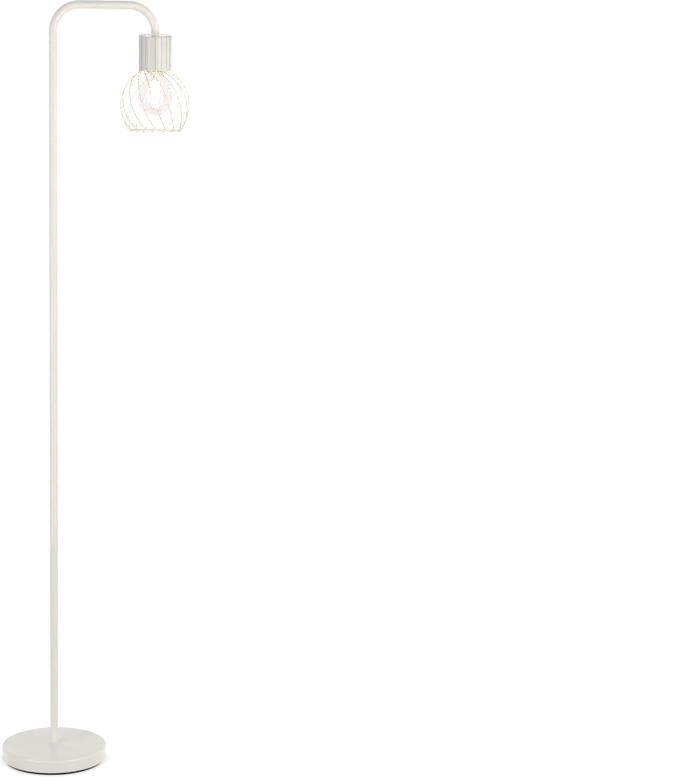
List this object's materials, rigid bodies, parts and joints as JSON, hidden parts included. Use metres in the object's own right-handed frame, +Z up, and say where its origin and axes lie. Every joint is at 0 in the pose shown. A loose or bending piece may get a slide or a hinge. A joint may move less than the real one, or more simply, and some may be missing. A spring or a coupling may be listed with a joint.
{
  "type": "wire cage floor lamp",
  "caption": "Slim floor lamp with an arched tube arm, round weighted base, and a hanging twisted wire cage round a clear filament bulb.",
  "frame": {"origin": "centre of the pad's flat underside, on the floor under the pole", "axes": "+Z up along the pole, +X from the pole towards the hanging head, +Y towards the back, where the lead enters"},
  "size_m": [0.3736, 0.212, 1.516],
  "materials": {
    "cream_paint": "fine satin powder coat, warm off-white",
    "cast_iron": "rough sand casting",
    "black_foam": "closed-cell foam",
    "black_rubber": "moulded rubber",
    "zinc_steel": "zinc plated",
    "lead_sheath": "smooth cable sheath",
    "white_phenolic": "moulded, slightly glossy",
    "plated_brass": "pressed sheet",
    "clear_glass": "clear blown glass",
    "filament_phosphor": "warm glowing phosphor sticks",
    "bulb_wire": "thin drawn wire",
    "bulb_cap_metal": "rolled thin sheet",
    "black_glass": "moulded insulator",
    "solder": "domed solder",
    "circuit_board": "small round board"
  },
  "bodies": {
    "lamp": {"base_cover": "cream_paint", "pole_lower_tube": "cream_paint", "pole_middle_tube": "cream_paint", "arm_tube": "cream_paint", "socket_cup": "cream_paint", "cage_top_ring": "cream_paint", "cage_neck_ring": "cream_paint", "cage_bottom_ring": "cream_paint", "cage_wire_01": "cream_paint", "cage_wire_02": "cream_paint", "cage_wire_03": "cream_paint", "cage_wire_04": "cream_paint", "cage_wire_05": "cream_paint", "cage_wire_06": "cream_paint", "cage_wire_07": "cream_paint", "cage_wire_08": "cream_paint", "cage_wire_09": "cream_paint", "cage_wire_10": "cream_paint", "cage_wire_11": "cream_paint", "cage_wire_12": "cream_paint", "cage_wire_13": "cream_paint", "cage_wire_14": "cream_paint", "cage_wire_15": "cream_paint", "cage_wire_16": "cream_paint", "base_weight": "cast_iron", "base_pad": "black_foam", "cord_grommet": "black_rubber", "base_flat_washer": "zinc_steel", "base_lock_washer": "zinc_steel", "base_lock_nut": "zinc_steel", "foot_nipple": "zinc_steel", "foot_bush": "zinc_steel", "lower_joint_stud": "zinc_steel", "lower_joint_bush": "zinc_steel", "upper_joint_stud": "zinc_steel", "upper_joint_bush": "zinc_steel", "arm_end_bush": "zinc_steel", "head_nipple": "zinc_steel", "head_flat_washer": "zinc_steel", "head_lock_nut": "zinc_steel", "inner_lead": "lead_sheath", "holder_cap": "white_phenolic", "holder_body": "white_phenolic", "holder_screw_shell": "plated_brass", "holder_spring_contact": "plated_brass", "holder_terminal_screws": "plated_brass"},
    "bulb": {"bulb_glass": "clear_glass", "bulb_stem": "clear_glass", "bulb_filaments": "filament_phosphor", "bulb_support_wires": "bulb_wire", "bulb_screw_cap": "bulb_cap_metal", "bulb_insulator": "black_glass", "bulb_tip_contact": "solder", "bulb_driver_board": "circuit_board"}
  },
  "joints": [
    {"name": "bulb_draw", "type": "slide", "parent": "lamp", "child": "bulb", "axis": [0, 0, -1], "range_m": [0, 0.155]}
  ]
}
